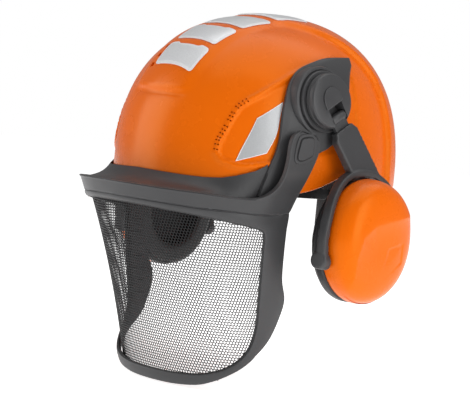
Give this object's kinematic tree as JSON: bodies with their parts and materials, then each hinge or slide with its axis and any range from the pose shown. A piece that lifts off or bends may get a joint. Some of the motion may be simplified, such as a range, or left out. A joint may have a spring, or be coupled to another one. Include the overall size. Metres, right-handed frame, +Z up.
{
  "type": "forestry helmet",
  "caption": "Child's forestry helmet with a vented shell, a mesh visor on a lifting bracket, swinging ear muffs and an adjustable head harness.",
  "frame": {"origin": "centre of the headband's opening, between its front and rear, 8 mm above the shell's front rim", "axes": "+Z up, the front faces -Y, +X towards the wearer's left"},
  "size_m": [0.272, 0.2577, 0.2813],
  "materials": {
    "shell_plastic": "glossy orange moulding",
    "reflective_film": "silver reflective film with a fine grain",
    "dark_plastic": "satin dark grey moulding",
    "band_plastic": "satin black moulding",
    "mesh": "grey coated fine mesh",
    "cushion": "matte black padded skin",
    "foam": "black open foam",
    "webbing": "black woven strap",
    "steel": "plain steel"
  },
  "bodies": {
    "helmet": {"shell": "shell_plastic", "crown_reflector_1": "reflective_film", "crown_reflector_2": "reflective_film", "crown_reflector_3": "reflective_film", "crown_reflector_4": "reflective_film", "side_reflector_left": "reflective_film", "side_reflector_right": "reflective_film", "peak_carrier": "dark_plastic", "turret_base_left": "dark_plastic", "turret_base_right": "dark_plastic", "turret_rivet_left": "steel", "turret_rivet_right": "steel", "headband": "band_plastic", "sweatband": "foam", "cradle_strap_cross": "webbing", "cradle_strap_long": "webbing", "crown_pad": "foam", "cradle_clip_left": "band_plastic", "cradle_clip_right": "band_plastic", "cradle_clip_front": "band_plastic", "cradle_clip_rear": "band_plastic"},
    "visor": {"visor_bracket": "dark_plastic", "visor_frame": "dark_plastic", "visor_mesh": "mesh", "visor_pivot_cap_left": "dark_plastic", "visor_pivot_cap_right": "dark_plastic"},
    "turret_left": {"turret_drum_left": "dark_plastic", "arm_hinge_pin_left": "steel"},
    "turret_right": {"turret_drum_right": "dark_plastic", "arm_hinge_pin_right": "steel"},
    "arm_left": {"muff_arm_left": "dark_plastic"},
    "arm_right": {"muff_arm_right": "dark_plastic"},
    "yoke_left": {"muff_yoke_left": "dark_plastic", "yoke_stud_front_left": "dark_plastic", "yoke_stud_rear_left": "dark_plastic"},
    "yoke_right": {"muff_yoke_right": "dark_plastic", "yoke_stud_front_right": "dark_plastic", "yoke_stud_rear_right": "dark_plastic"},
    "cup_left": {"ear_cup_left": "shell_plastic", "cup_base_left": "dark_plastic", "ear_cushion_left": "cushion", "cup_foam_left": "foam"},
    "cup_right": {"ear_cup_right": "shell_plastic", "cup_base_right": "dark_plastic", "ear_cushion_right": "cushion", "cup_foam_right": "foam"},
    "nape": {"nape_band": "band_plastic", "ratchet_housing": "dark_plastic"},
    "knob": {"ratchet_knob": "dark_plastic"}
  },
  "joints": [
    {"name": "visor_lift", "type": "hinge", "parent": "helmet", "child": "visor", "pos_m": [0, -0.047, 0.026], "axis": [-1, 0, 0], "range_deg": [0, 95]},
    {"name": "muff_swing_left", "type": "hinge", "parent": "helmet", "child": "turret_left", "pos_m": [0.0845, -0.026, 0.0597], "axis": [0.9877, 0, 0.1564], "range_deg": [0, 110]},
    {"name": "muff_swing_right", "type": "hinge", "parent": "helmet", "child": "turret_right", "pos_m": [-0.0845, -0.026, 0.0597], "axis": [0.9877, 0, -0.1564], "range_deg": [0, 110]},
    {"name": "muff_flip_left", "type": "hinge", "parent": "turret_left", "child": "arm_left", "pos_m": [0.09577, -0.01894, 0.04925], "axis": [0.0789, -0.8633, -0.4984], "range_deg": [-8, 12]},
    {"name": "muff_flip_right", "type": "hinge", "parent": "turret_right", "child": "arm_right", "pos_m": [-0.09577, -0.01894, 0.04925], "axis": [0.0789, 0.8633, 0.4984], "range_deg": [-8, 12]},
    {"name": "yoke_slide_left", "type": "slide", "parent": "arm_left", "child": "yoke_left", "axis": [0.2036, 0.5034, -0.8397], "range_m": [0, 0.015]},
    {"name": "yoke_slide_right", "type": "slide", "parent": "arm_right", "child": "yoke_right", "axis": [-0.2036, 0.5034, -0.8397], "range_m": [0, 0.015]},
    {"name": "cup_tilt_left", "type": "hinge", "parent": "yoke_left", "child": "cup_left", "pos_m": [0.106, 0.0035, -0.053], "axis": [0, 1, 0], "range_deg": [-8, 8]},
    {"name": "cup_tilt_right", "type": "hinge", "parent": "yoke_right", "child": "cup_right", "pos_m": [-0.106, 0.0035, -0.053], "axis": [0, -1, 0], "range_deg": [-8, 8]},
    {"name": "nape_slide", "type": "slide", "parent": "helmet", "child": "nape", "axis": [0, -1, 0], "range_m": [0, 0.012]},
    {"name": "knob_turn", "type": "hinge", "parent": "nape", "child": "knob", "pos_m": [0, 0.092, -0.028], "axis": [0, 1, 0], "range_deg": [0, 540]}
  ],
  "couplings": [
    {"joint": "knob_turn", "follows": "nape_slide", "rad_per_m": 785.4}
  ]
}
